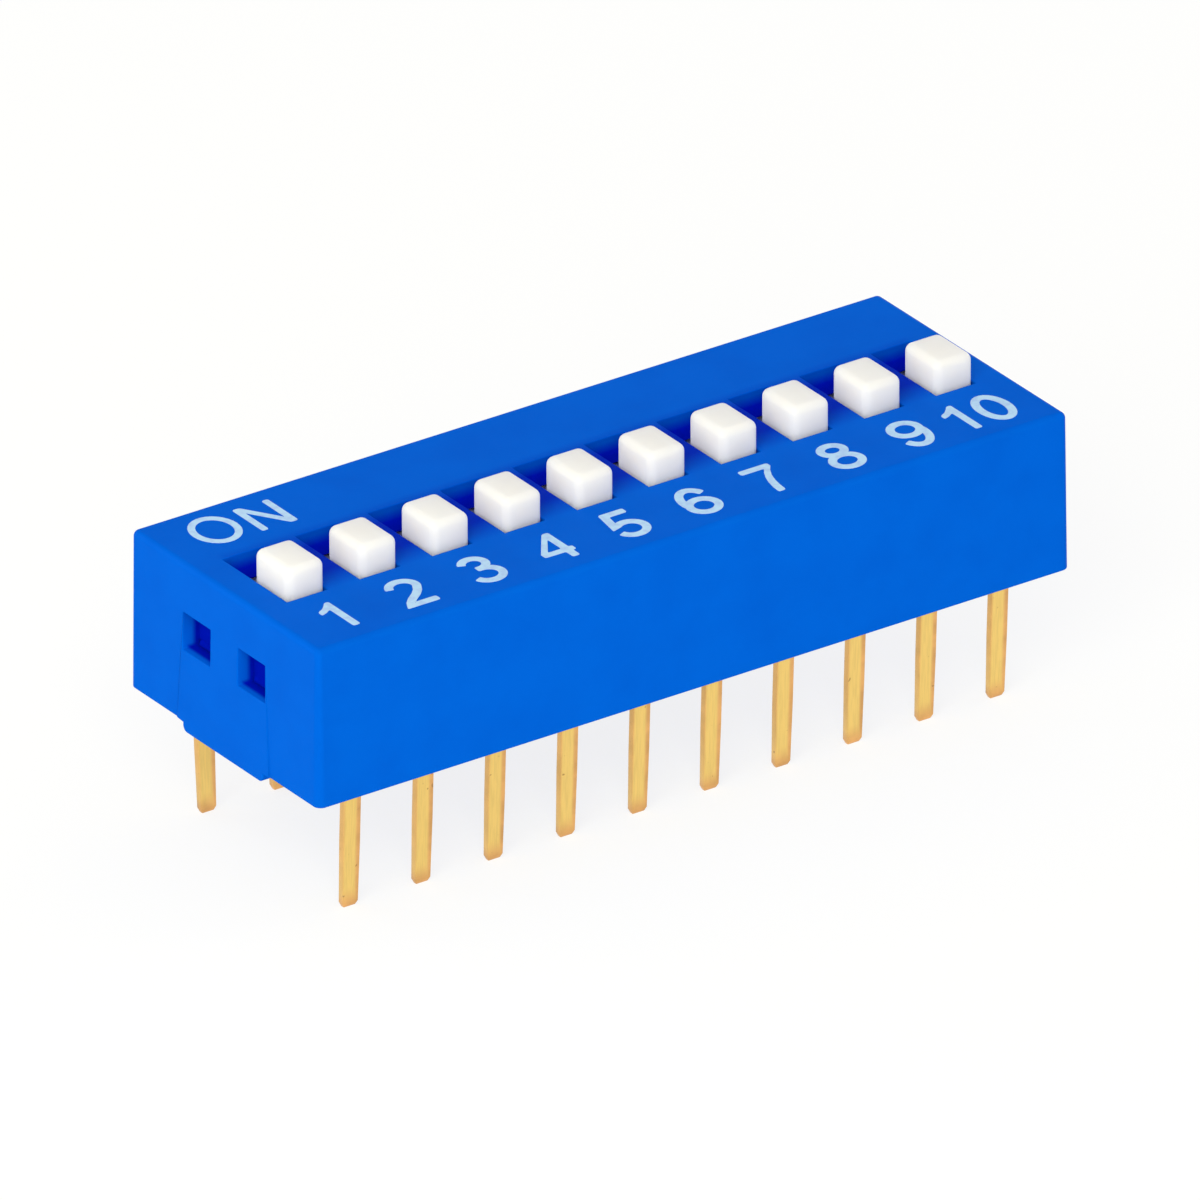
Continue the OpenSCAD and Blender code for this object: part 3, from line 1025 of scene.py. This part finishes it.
def place_camera(studio):
    """A camera with a long lens that looks along the studio's azimuth and elevation."""
    turn, tilt = studio.azimuth, studio.elevation
    back = Vector((
        math.sin(turn) * math.cos(tilt), -math.cos(turn) * math.cos(tilt), math.sin(tilt),
    ))
    level = Vector((math.cos(turn), math.sin(turn), 0.0))
    right = Matrix.Rotation(studio.roll, 3, back) @ level
    up = back.cross(right)
    bpy.ops.object.camera_add()
    camera = bpy.context.object
    camera.name = "studio_camera"
    camera.rotation_mode = "QUATERNION"
    camera.rotation_quaternion = Matrix((right, up, back)).transposed().to_quaternion()
    camera.location = studio.aim[0] * right + studio.aim[1] * up + studio.distance * back
    camera.data.lens = studio.lens
    camera.data.sensor_width = 36.0
    camera.data.clip_start = 0.1
    camera.data.clip_end = 10.0
    return camera


class SWITCH_OT_set_studio(SwitchOperator):
    """Sets the floor, the lamps and the camera"""

    bl_idname = "dip_switch.set_studio"
    bl_label = "Set Studio"

    def execute(self, context):
        studio = settings(context).studio
        yellowish, warm, white = (1.0, 0.97, 0.75), (1.0, 0.98, 0.88), (1.0, 1.0, 1.0)
        context.scene.view_settings.view_transform = "Standard"
        light_world(studio.sky)
        deselect_all()
        lay_floor(PIN_TIPS)
        hang_lamp("key_lamp", (-0.63, -0.60, 0.49), 0.25, studio.key, yellowish)
        hang_lamp("top_lamp", (0.1, 0.3, 1.0), 0.3, studio.fill, white)
        hang_lamp("back_lamp", (-0.5, 0.85, 0.15), 0.2, studio.back, warm)
        hang_lamp("end_lamp", (0.97, -0.15, 0.2), 0.2, studio.back, warm)
        context.scene.camera = place_camera(studio)
        return {"FINISHED"}


class SWITCH_PT_sidebar(Panel):
    """Lists the part's sizes, colours and operators"""

    bl_idname = "SWITCH_PT_sidebar"
    bl_label = "DIP Switch"
    bl_space_type = "VIEW_3D"
    bl_region_type = "UI"
    bl_category = "DIP Switch"

    def draw(self, context):
        chosen = settings(context)
        for group in (chosen.plastics, chosen.metals, chosen.print, chosen.studio):
            box = self.layout.box()
            for name in group.bl_rna.properties.keys():
                if name not in ("rna_type", "name"):
                    box.prop(group, name)
        for operator in OPERATORS:
            self.layout.operator(operator.bl_idname)


OPERATORS = (
    SWITCH_OT_mould_cover,
    SWITCH_OT_mould_base,
    SWITCH_OT_mould_latch_tips,
    SWITCH_OT_mould_actuators,
    SWITCH_OT_plate_terminals,
    SWITCH_OT_plate_contacts,
    SWITCH_OT_print_numbers,
    SWITCH_OT_print_on,
    SWITCH_OT_set_studio,
)
GROUPS = (SwitchPlastics, SwitchMetals, SwitchPrint, SwitchStudio, SwitchSettings)


def register():
    for item in GROUPS + OPERATORS + (SWITCH_PT_sidebar,):
        bpy.utils.register_class(item)
    bpy.types.Scene.dip_switch = PointerProperty(type=SwitchSettings)


def unregister():
    del bpy.types.Scene.dip_switch
    for item in reversed(GROUPS + OPERATORS + (SWITCH_PT_sidebar,)):
        bpy.utils.unregister_class(item)


def main():
    register()
    bpy.ops.dip_switch.mould_cover()
    bpy.ops.dip_switch.mould_base()
    bpy.ops.dip_switch.mould_latch_tips()
    bpy.ops.dip_switch.mould_actuators()
    bpy.ops.dip_switch.plate_terminals()
    bpy.ops.dip_switch.plate_contacts()
    bpy.ops.dip_switch.print_numbers()
    bpy.ops.dip_switch.print_on()
    bpy.ops.dip_switch.set_studio()


if __name__ == "__main__":
    main()
